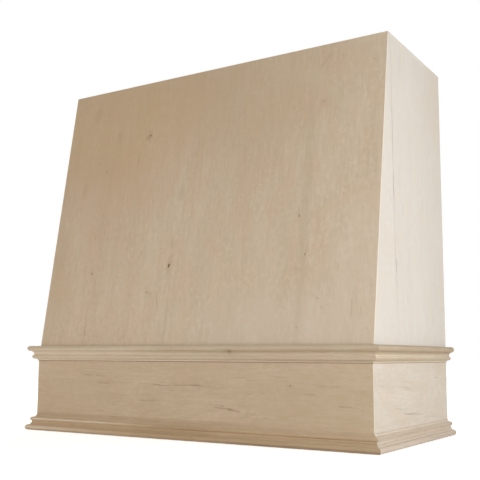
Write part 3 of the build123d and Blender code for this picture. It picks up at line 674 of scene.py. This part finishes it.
# painted shadow that the lower moulding casts up the apron, strongest at the left end
mouldingShadowTone = paint(160, 130, 96)
frontApronStreaks = (  # height, middle, length, width, slant, share, and a tone where it isn't dark
    (0.1205, -0.238, 0.050, 0.0022, 0.0, 0.35),
    (0.1240, -0.200, 0.120, 0.0014, 0.02, 0.23),
    (0.1220, -0.103, 0.060, 0.0016, -0.02, 0.39),
    (0.1210, -0.077, 0.030, 0.0024, 0.0, 0.47),
    (0.1195, -0.054, 0.040, 0.0016, 0.0, 0.39),
    (0.1205, 0.008, 0.100, 0.0016, 0.0, 0.47),
    (0.1210, 0.033, 0.035, 0.0020, 0.0, 0.27),
    (0.1400, -0.292, 0.050, 0.0045, 0.15, 0.20),
    (0.1370, -0.246, 0.045, 0.0038, 0.0, 0.23),
    (0.0830, -0.103, 0.050, 0.0022, 0.0, 0.27),
    (0.0835, -0.080, 0.030, 0.0040, 0.0, 0.23, paint(140, 110, 62)),
    (0.0930, -0.170, 0.040, 0.0014, 0.0, 0.20),
    (0.0790, 0.098, 0.030, 0.0026, 0.10, 0.35),
    (0.0730, 0.108, 0.060, 0.0016, 0.05, 0.51),
    (0.0690, 0.133, 0.042, 0.0022, 0.12, 0.66),
    (0.1390, 0.146, 0.040, 0.0016, 0.0, 0.27),
    (0.1430, 0.253, 0.050, 0.0016, 0.0, 0.27),
    (0.1340, 0.175, 0.030, 0.0016, 0.0, 0.20),
    (0.1080, 0.318, 0.036, 0.0016, 0.0, 0.31),
    (0.0870, 0.397, 0.040, 0.0022, 0.04, 0.51),
    (0.1255, 0.345, 0.026, 0.0022, 0.0, 0.22),
    (0.1260, 0.377, 0.024, 0.0022, 0.0, 0.22),
    (0.0560, 0.215, 0.028, 0.0026, 0.0, 0.20),
    (0.0545, -0.248, 0.034, 0.0030, 0.0, 0.17),
    (0.0560, 0.162, 0.032, 0.0022, 0.0, 0.17),
)
sideApronStreaks = (  # the same, and mirrored on the left
    (0.0640, -0.013, 0.100, 0.0028, 0.06, 0.46),
    (0.0600, 0.042, 0.060, 0.0016, 0.05, 0.24),
    (0.0780, -0.085, 0.060, 0.0022, 0.10, 0.26),
    (0.1170, -0.030, 0.050, 0.0028, 0.0, 0.28),
    (0.1210, -0.035, 0.050, 0.0018, 0.0, 0.22),
    (0.0670, 0.031, 0.026, 0.0020, 0.0, 0.26),
    (0.1370, 0.161, 0.032, 0.0036, 0.0, 0.28),
    (0.0490, 0.140, 0.170, 0.0016, 0.075, 0.22),
    (0.1290, -0.188, 0.026, 0.0040, -0.12, 0.18),
    (0.1265, -0.170, 0.022, 0.0036, 0.16, 0.20),
)
dress("apron_front", makeWood("mapleApronFront", {
    **apronMaple, "along": (1, 0, 0), "across": (0, 0, -1), "origin": (0, faceY, apronMiddle), "seed": 21.0,
    "pale": paint(201, 180, 151), "deep": paint(185, 161, 130), "fibres": 1.25, "mottle": 1.5,
    "toneClouds": (
        (0.0, 0.34, 0.10, 0.20, 0.25, paint(178, 157, 124)),
        (0.01, -0.42, 0.05, 0.05, 0.35, paint(184, 154, 128)),
    ),
    "streaks": tuple((apronMiddle - height, *rest) for height, *rest in frontApronStreaks),
    "knots": ((apronMiddle - 0.1250, 0.2715, 0.0016, 1.8, 0.0, 0.75),),
    "lines": (  # place, half width, share, tone, core, where it is full and where it is gone
        # painted shadow above the lower moulding, full at the left end and gone towards the right
        (apronMiddle - 0.0405, 0.0044, 0.40, mouldingShadowTone, 0.75, 0.02, 0.30),
        # dark lines at the moulding joints: a glue line with painted contact shadow
        (apronMiddle - upperLow, 0.0018, 0.60, jointAndShadowTone),
        (apronMiddle - lowerHigh, 0.0009, 0.40, jointAndShadowTone),
    ),
}))
for name, side, across in (("left", -1, (0, 0, 1)), ("right", 1, (0, 0, -1))):
    dress(f"apron_{name}", makeWood(f"mapleApron{name.title()}", {
        **apronMaple, "along": (0, 1, 0), "across": across, "origin": (side * halfWidth, 0, apronMiddle),
        "seed": 24.0 + side, "pale": paint(199, 187, 171), "deep": paint(184, 170, 150),
        "streaks": tuple(
            (side * (apronMiddle - height), middle, length, width, side * slant, share)
            for height, middle, length, width, slant, share in sideApronStreaks
        ),
        "lines": (
            # dark lines at the moulding joints: a glue line with painted contact shadow
            (side * (apronMiddle - upperLow), 0.0014, 0.6, jointAndShadowTone),
            (side * (apronMiddle - lowerHigh), 0.0009, 0.4, jointAndShadowTone),
        ),
    }))
print("apron dressed")


# The mouldings. Their pattern runs down from the thick edge, so every line is a place on the profile, and most
# lines paint light and shade onto the profile.

mouldingMaple = {
    "ringGap": 0.0045, "heartDepth": 0.03, "taper": 0.02, "wander": 0.010, "rings": 0.3, "fibres": 1.1,
    "clouds": 0.6, "pores": 0.4, "curl": 0.2, "mottle": 0.5, "flecks": 0.5, "blush": 0.2,
    "blushTone": paint(196, 164, 134), "puttyTone": paint(178, 152, 118),
}
mouldingTones = {
    # level, and 0 for the front or 1 for a side: pale, deep and ring tone
    ("upper", 0): ((209, 192, 166), (193, 172, 143), (162, 137, 107)),
    ("upper", 1): ((182, 165, 140), (166, 147, 119), (140, 118, 88)),
    ("lower", 0): ((193, 166, 132), (175, 147, 112), (144, 115, 82)),
    ("lower", 1): ((199, 185, 167), (183, 166, 145), (153, 132, 108)),
}
# painted shade on undersides and in the hollows of the profiles
paintedShadeTone = paint(148, 125, 93)
# painted light that lifts the quirks and coves the lamps leave dark, and painted highlights on faces that catch
# the light
paintedLightTone = paint(226, 210, 186)
# painted light and painted shade along each profile, as lines in the tones above
profilePaintedShading = {
    # place on the profile, half width, share and tone, then its core, where it is full and where it is gone
    ("upper", 0): (
        (0.0010, 0.0018, 0.30, paintedLightTone), (0.0050, 0.0036, 0.30, paintedShadeTone, 0.2, -0.45, 0.30),
        (0.0090, 0.0018, 0.20, paintedLightTone, 0.2, -0.20, -0.02),
        (0.0095, 0.0044, 0.20, paintedShadeTone, 0.2, 0.45, 0.05), (0.0130, 0.0034, 0.35, paintedLightTone, 0.2, -0.40, 0.05),
        (0.0136, 0.0024, 0.18, paintedShadeTone, 0.2, 0.10, -0.05), (0.0170, 0.0030, 0.40, paintedLightTone, 0.2, -0.12, 0.02),
        (0.0188, 0.0028, 0.22, paintedLightTone, 0.2, -0.40, 0.10), (0.0234, 0.0034, 0.42, paintedLightTone, 0.2, 0.15, -0.30),
        (0.0312, 0.0012, 0.20, paintedShadeTone, 0.2, 0.24, 0.08),
        (0.0330, 0.0028, 0.85, paintedLightTone, 0.2, -0.10, 0.60), (0.0365, 0.0013, 0.85, jointAndShadowTone),
    ),
    ("upper", 1): (
        (0.0004, 0.0010, 0.20, jointAndShadowTone), (0.0070, 0.0110, 0.50, paintedShadeTone, 0.5, 0.30, -0.60),
        (0.0105, 0.0060, 0.40, paintedShadeTone, 0.3), (0.0150, 0.0050, 0.48, paintedShadeTone, 0.3),
        (0.0232, 0.0036, 0.60, paintedLightTone), (0.0290, 0.0026, 0.30, paintedShadeTone), (0.0335, 0.0026, 0.40, paintedLightTone),
        (0.0368, 0.0014, 0.85, jointAndShadowTone),
    ),
    ("lower", 0): (
        (0.0036, 0.0036, 0.46, jointAndShadowTone, 0.2, -0.20, 0.02), (0.0075, 0.0060, 0.60, paintedLightTone, 0.2, 0.45, 0.08),
        (0.0068, 0.0050, 0.30, paintedShadeTone, 0.3, -0.35, -0.02), (0.0132, 0.0020, 0.15, paintedLightTone),
        (0.0185, 0.0016, 0.45, jointAndShadowTone, 0.2, -0.42, -0.18), (0.0210, 0.0030, 0.06, paintedShadeTone, 0.3, -0.30, 0.05),
        (0.0238, 0.0030, 0.42, paintedLightTone, 0.3, 0.30, -0.20), (0.0280, 0.0022, 0.85, paintedLightTone, 0.3, 0.25, 0.07),
        (0.0322, 0.0024, 0.52, paintedLightTone), (0.0362, 0.0016, 0.25, paintedLightTone),
    ),
    ("lower", 1): (
        (0.0006, 0.0024, 0.20, jointAndShadowTone, 0.4, -0.22, 0.30), (0.0030, 0.0034, 0.25, paintedShadeTone, 0.5),
        (0.0073, 0.0036, 0.45, paintedShadeTone, 0.3, -0.20, 0.20),
        (0.0135, 0.0024, 0.40, paintedLightTone), (0.0174, 0.0026, 0.35, paintedShadeTone, 0.3),
        (0.0208, 0.0022, 0.20, paintedShadeTone), (0.0272, 0.0036, 0.55, paintedShadeTone, 0.3),
        (0.0328, 0.0026, 0.60, paintedLightTone),
    ),
}
mouldingClouds = {  # across, along, reach across, reach along, share, tone
    ("upper", 0): (
        (0.018, -0.32, 0.20, 0.36, 0.25, paint(220, 205, 182)),
        (0.018, 0.24, 0.20, 0.40, 0.20, paint(180, 158, 126)),
    ),
    ("lower", 0): (
        (0.018, 0.02, 0.20, 0.16, 0.22, paint(158, 128, 90)),
        (0.018, -0.42, 0.20, 0.2, 0.22, paint(196, 171, 139)),
    ),
}
upperFrontKnots = ((0.0125, 0.131, 0.0022, 1.6, 0.0, 0.8), (0.0165, 0.129, 0.0040, 1.4, 0.0, 0.3))
coveFromEdge = 0.0174
frontBradSpacing = 0.1524
sideBradSpacing = 0.1143
for level, upright in (("upper", -1), ("lower", 1)):
    for run, side in (("front", 0), ("left", -1), ("right", 1)):
        nodeName = f"{level}_moulding_{run}"
        low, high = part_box(nodeName)
        thickEdge = high.z if level == "upper" else low.z
        row = (level, abs(side))
        tones = zip(("pale", "deep", "ringTone"), mouldingTones[row])
        look = {
            **mouldingMaple, **{key: paint(*tone) for key, tone in tones},
            "lines": profilePaintedShading[row], "toneClouds": mouldingClouds.get(row, ()),
            "seed": 31.0 + 3 * upright + 2 * side, "across": (0, 0, upright),
        }
        if side == 0:
            look.update(along=(-upright, 0, 0), origin=(0, low.y, thickEdge))
            look["putty"] = (frontBradSpacing, coveFromEdge)
        else:
            look.update(along=(0, -side * upright, 0), origin=(side * cadHigh.x, 0, thickEdge))
            look["putty"] = (sideBradSpacing, coveFromEdge)
        if row == ("upper", 0):
            look["knots"] = upperFrontKnots
        dress(nodeName, makeWood(f"mapleMoulding{level.title()}{run.title()}", look))
print("mouldings dressed")


# Top panel and rails of birch plywood

birchPly = {
    "pale": paint(222, 203, 170), "deep": paint(208, 184, 146), "ringTone": paint(188, 158, 118),
    "ringGap": 0.008, "heartDepth": 0.06, "taper": 0.08, "wander": 0.03, "rings": 0.3, "fibres": 0.5,
    "clouds": 0.5, "pores": 0.3, "curl": 0.6, "layers": 9, "thickness": boardThick,
    "coreTone": paint(182, 148, 106), "glueTone": paint(112, 82, 54),
}
dress("top_panel", makeWood("birchPlyTop", {
    **birchPly, "along": (1, 0, 0), "across": (0, 1, 0), "origin": (0, 0, topLow.z), "seed": 41.0,
}))
for number, nodeName in enumerate(("hanging_rail", "apron_back_rail")):
    low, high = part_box(nodeName)
    dress(nodeName, makeWood(f"birchPly{nodeName.title().replace('_', '')}", {
        **birchPly, "along": (1, 0, 0), "across": (0, 0, 1), "origin": (0, wallY, (low.z + high.z) / 2),
        "seed": 44.0 + number,
    }))
print("plywood inside dressed")


# Poplar strips: the ledger, the cleats and the glue blocks

poplarStrip = {
    "pale": paint(213, 198, 168), "deep": paint(197, 178, 144), "ringTone": paint(162, 144, 110),
    "ringGap": 0.004, "heartDepth": 0.03, "taper": 0.02, "wander": 0.01, "rings": 0.45,
    "fibres": 0.7, "clouds": 0.6, "pores": 0.4, "curl": 0.2, "bump": 0.0002,
}
stripAxes = {
    "acrossRoom": {"along": (1, 0, 0), "across": (0, 0, 1)},
    "toWall": {"along": (0, 1, 0), "across": (0, 0, 1)},
    "upright": {"along": (0, 0, 1), "across": (1, 0, 0)},
    "upSlope": {"along": upSlope, "across": (1, 0, 0)},
}
stripRuns = {
    "ledger_front": "acrossRoom", "ledger_back": "acrossRoom",
    "ledger_left": "toWall", "ledger_right": "toWall",
    "joint_cleat_front": "acrossRoom", "joint_cleat_left": "toWall", "joint_cleat_right": "toWall",
    "top_cleat_front": "acrossRoom", "top_cleat_left": "toWall", "top_cleat_right": "toWall",
    "corner_block_left": "upright", "corner_block_right": "upright",
    "corner_strip_left": "upSlope", "corner_strip_right": "upSlope",
}
for number, (nodeName, run) in enumerate(stripRuns.items()):
    low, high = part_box(nodeName)
    dress(nodeName, makeWood(f"poplar{nodeName.title().replace('_', '')}", {
        **poplarStrip, **stripAxes[run], "origin": (low + high) / 2, "seed": 51.0 + number,
    }))
print("strips dressed")


# Fasteners

metalGrain = {"bloom": (160, 160, 160), "speck": (1400, 1400, 1400), "stainShare": 0.35, "bump": 0.00005}


def makeMetal(name, look):
    material = bpy.data.materials.new(name)
    material.use_nodes = True
    tree = material.node_tree
    shader = tree.nodes["Principled BSDF"]
    place = addNode(tree, "ShaderNodeTexCoord").outputs["Object"]
    bloom = grainNoise(tree, place, metalGrain["bloom"], 3.0, 0.6)
    speck = grainNoise(tree, place, metalGrain["speck"], 1.0, 0.5)
    color = blendColors(tree, stretch(tree, bloom, 0.35, 0.65), look["bright"], look["bloom"])
    stain = calc(tree, "MULTIPLY", stretch(tree, speck, 0.6, 0.75), metalGrain["stainShare"])
    feed(tree, shader.inputs["Base Color"], blendColors(tree, stain, color, look["stain"]))
    shader.inputs["Metallic"].default_value = 1.0
    feed(tree, shader.inputs["Roughness"], calc(tree, "MULTIPLY_ADD", bloom, 0.35, look["roughness"]))
    bump = addNode(tree, "ShaderNodeBump", {"Height": speck, "Strength": 0.5, "Distance": metalGrain["bump"]})
    feed(tree, shader.inputs["Normal"], bump.outputs[0])
    return material


zincPlate = makeMetal("yellowZinc", {
    "bright": paint(184, 166, 118), "bloom": paint(158, 148, 124), "stain": paint(104, 88, 60), "roughness": 0.3,
})
brightSteel = makeMetal("brightSteel", {
    "bright": paint(200, 200, 202), "bloom": paint(176, 178, 182), "stain": paint(96, 92, 88), "roughness": 0.22,
})
for place in ("ledger", "joint_cleat", "top_cleat", "top_panel", "rail_pocket"):
    dress(f"{place}_screws", zincPlate)
for nodeName in ("upper_moulding_brads", "lower_moulding_brads"):
    dress(nodeName, brightSteel)
pressedBeech = {
    "pale": paint(198, 164, 122), "deep": paint(172, 134, 94), "ringTone": paint(140, 102, 68),
    "along": (1, 0, 1), "across": (0, 1, 0), "origin": (0, 0, 0), "fibres": 0.9, "pores": 0.8, "rings": 0.2,
}
for number, nodeName in enumerate(("apron_mitre_biscuits", "panel_mitre_biscuits")):
    dress(nodeName, makeWood(f"pressedBeech{number + 1}", {**pressedBeech, "seed": 71.0 + number}))
print("fasteners dressed")


# Studio: pale floor, soft lamps and a white surround

studio = {
    "worldLevel": 0.342,
    "worldTint": (1.04, 1.0, 0.88, 1),
    "floorTone": 0.9,
    "floorSize": 14,
    "floorDrop": 0.0005,  # just below the cover's bottom edge
    "floorLift": (0.62, 0.85),  # how much brighter the camera sees the floor, near the cover and far from it
    "floorReach": (0.8, 2.4),
    "keyLamp": {"place": (2.2, -0.95, 0.15), "target": (0.2, 0, 0.35), "size": (0.9, 0.9), "power": 59.5,
                "color": (0.94, 1.0, 1.12)},
    "fillLamp": {"place": (-0.6, -1.5, 0.1), "target": (-0.2, -0.2, 0.25), "size": (0.9, 0.5), "power": 6.1,
                 "color": (1.03, 1.0, 1.02)},
    "wallSideLamp": {"place": (-1.6, 2.6, 1.7), "target": (0, 0, 0.45), "size": (1.6, 1.6), "power": 60,
                     "color": (1.0, 1.0, 1.0)},
}
view = bpy.context.scene.view_settings
view.view_transform = "Standard"


def surroundShare(tree):
    # 1 for rays from the camera, from gloss and through glass, which see plain white
    path = addNode(tree, "ShaderNodeLightPath").outputs
    share = calc(tree, "MAXIMUM", path["Is Camera Ray"], path["Is Glossy Ray"])
    return calc(tree, "MAXIMUM", share, path["Is Transmission Ray"])


def makeSurround():
    world = bpy.data.worlds.new("studioSurround")
    world.use_nodes = True
    bpy.context.scene.world = world
    tree = world.node_tree
    tree.nodes.clear()
    lighting = addNode(tree, "ShaderNodeBackground", {
        "Color": studio["worldTint"], "Strength": studio["worldLevel"],
    })
    white = addNode(tree, "ShaderNodeBackground", {"Color": (1, 1, 1, 1), "Strength": 1.0})
    mix = addNode(tree, "ShaderNodeMixShader", {"Fac": surroundShare(tree)})
    tree.links.new(lighting.outputs[0], mix.inputs[1])
    tree.links.new(white.outputs[0], mix.inputs[2])
    output = addNode(tree, "ShaderNodeOutputWorld")
    tree.links.new(mix.outputs[0], output.inputs["Surface"])


def makeFloor():
    bm = bmesh.new()
    bmesh.ops.create_grid(bm, x_segments=1, y_segments=1, size=studio["floorSize"])
    bmesh.ops.translate(bm, verts=bm.verts, vec=(0, 0, cadLow.z - studio["floorDrop"]))
    mesh = bpy.data.meshes.new("studioFloor")
    bm.to_mesh(mesh)
    bm.free()
    floor = bpy.data.objects.new("studioFloor", mesh)
    bpy.context.scene.collection.objects.link(floor)
    material = bpy.data.materials.new("floorPaper")
    material.use_nodes = True
    tree = material.node_tree
    tree.nodes.clear()
    tone = studio["floorTone"]
    paper = addNode(tree, "ShaderNodeBsdfDiffuse", {"Color": (tone, tone, tone, 1)})
    away = vectorCalc(tree, "LENGTH", addNode(tree, "ShaderNodeTexCoord").outputs["Object"])
    level = stretch(tree, away, *studio["floorReach"], *studio["floorLift"])
    lift = calc(tree, "MULTIPLY", surroundShare(tree), level)
    glow = addNode(tree, "ShaderNodeEmission", {"Strength": lift})
    both = addNode(tree, "ShaderNodeAddShader")
    tree.links.new(paper.outputs[0], both.inputs[0])
    tree.links.new(glow.outputs[0], both.inputs[1])
    output = addNode(tree, "ShaderNodeOutputMaterial")
    tree.links.new(both.outputs[0], output.inputs["Surface"])
    mesh.materials.append(material)


def makeLamp(name, look):
    data = bpy.data.lights.new(name, "AREA")
    data.shape = "RECTANGLE"
    data.size, data.size_y = look["size"]
    data.energy = look["power"]
    data.color = look["color"]
    lamp = bpy.data.objects.new(name, data)
    bpy.context.scene.collection.objects.link(lamp)
    lamp.location = look["place"]
    lamp.rotation_mode = "QUATERNION"
    lamp.rotation_quaternion = (Vector(look["target"]) - Vector(look["place"])).to_track_quat("-Z", "Y")


makeSurround()
makeFloor()
for name in ("keyLamp", "fillLamp", "wallSideLamp"):
    makeLamp(name, studio[name])
print("studio made")


# Camera, where the photographer stood

photoView = {
    "place": (1.07028, -1.69791, 0.18636), "lens": 59.95,
    "turn": 31.926, "tip": 7.237, "roll": 0.241, "shiftUp": 0.03,
}


def makeCamera():
    data = bpy.data.cameras.new("photoCamera")
    camera = bpy.data.objects.new("photoCamera", data)
    bpy.context.scene.collection.objects.link(camera)
    data.sensor_width = 36
    data.lens = photoView["lens"]
    data.shift_y = photoView["shiftUp"]
    turn = Matrix.Rotation(math.radians(photoView["turn"]), 4, "Z")
    tip = Matrix.Rotation(math.radians(90 + photoView["tip"]), 4, "X")
    roll = Matrix.Rotation(math.radians(photoView["roll"]), 4, "Z")
    camera.matrix_world = Matrix.Translation(photoView["place"]) @ turn @ tip @ roll
    bpy.context.scene.camera = camera


makeCamera()
print("camera set")
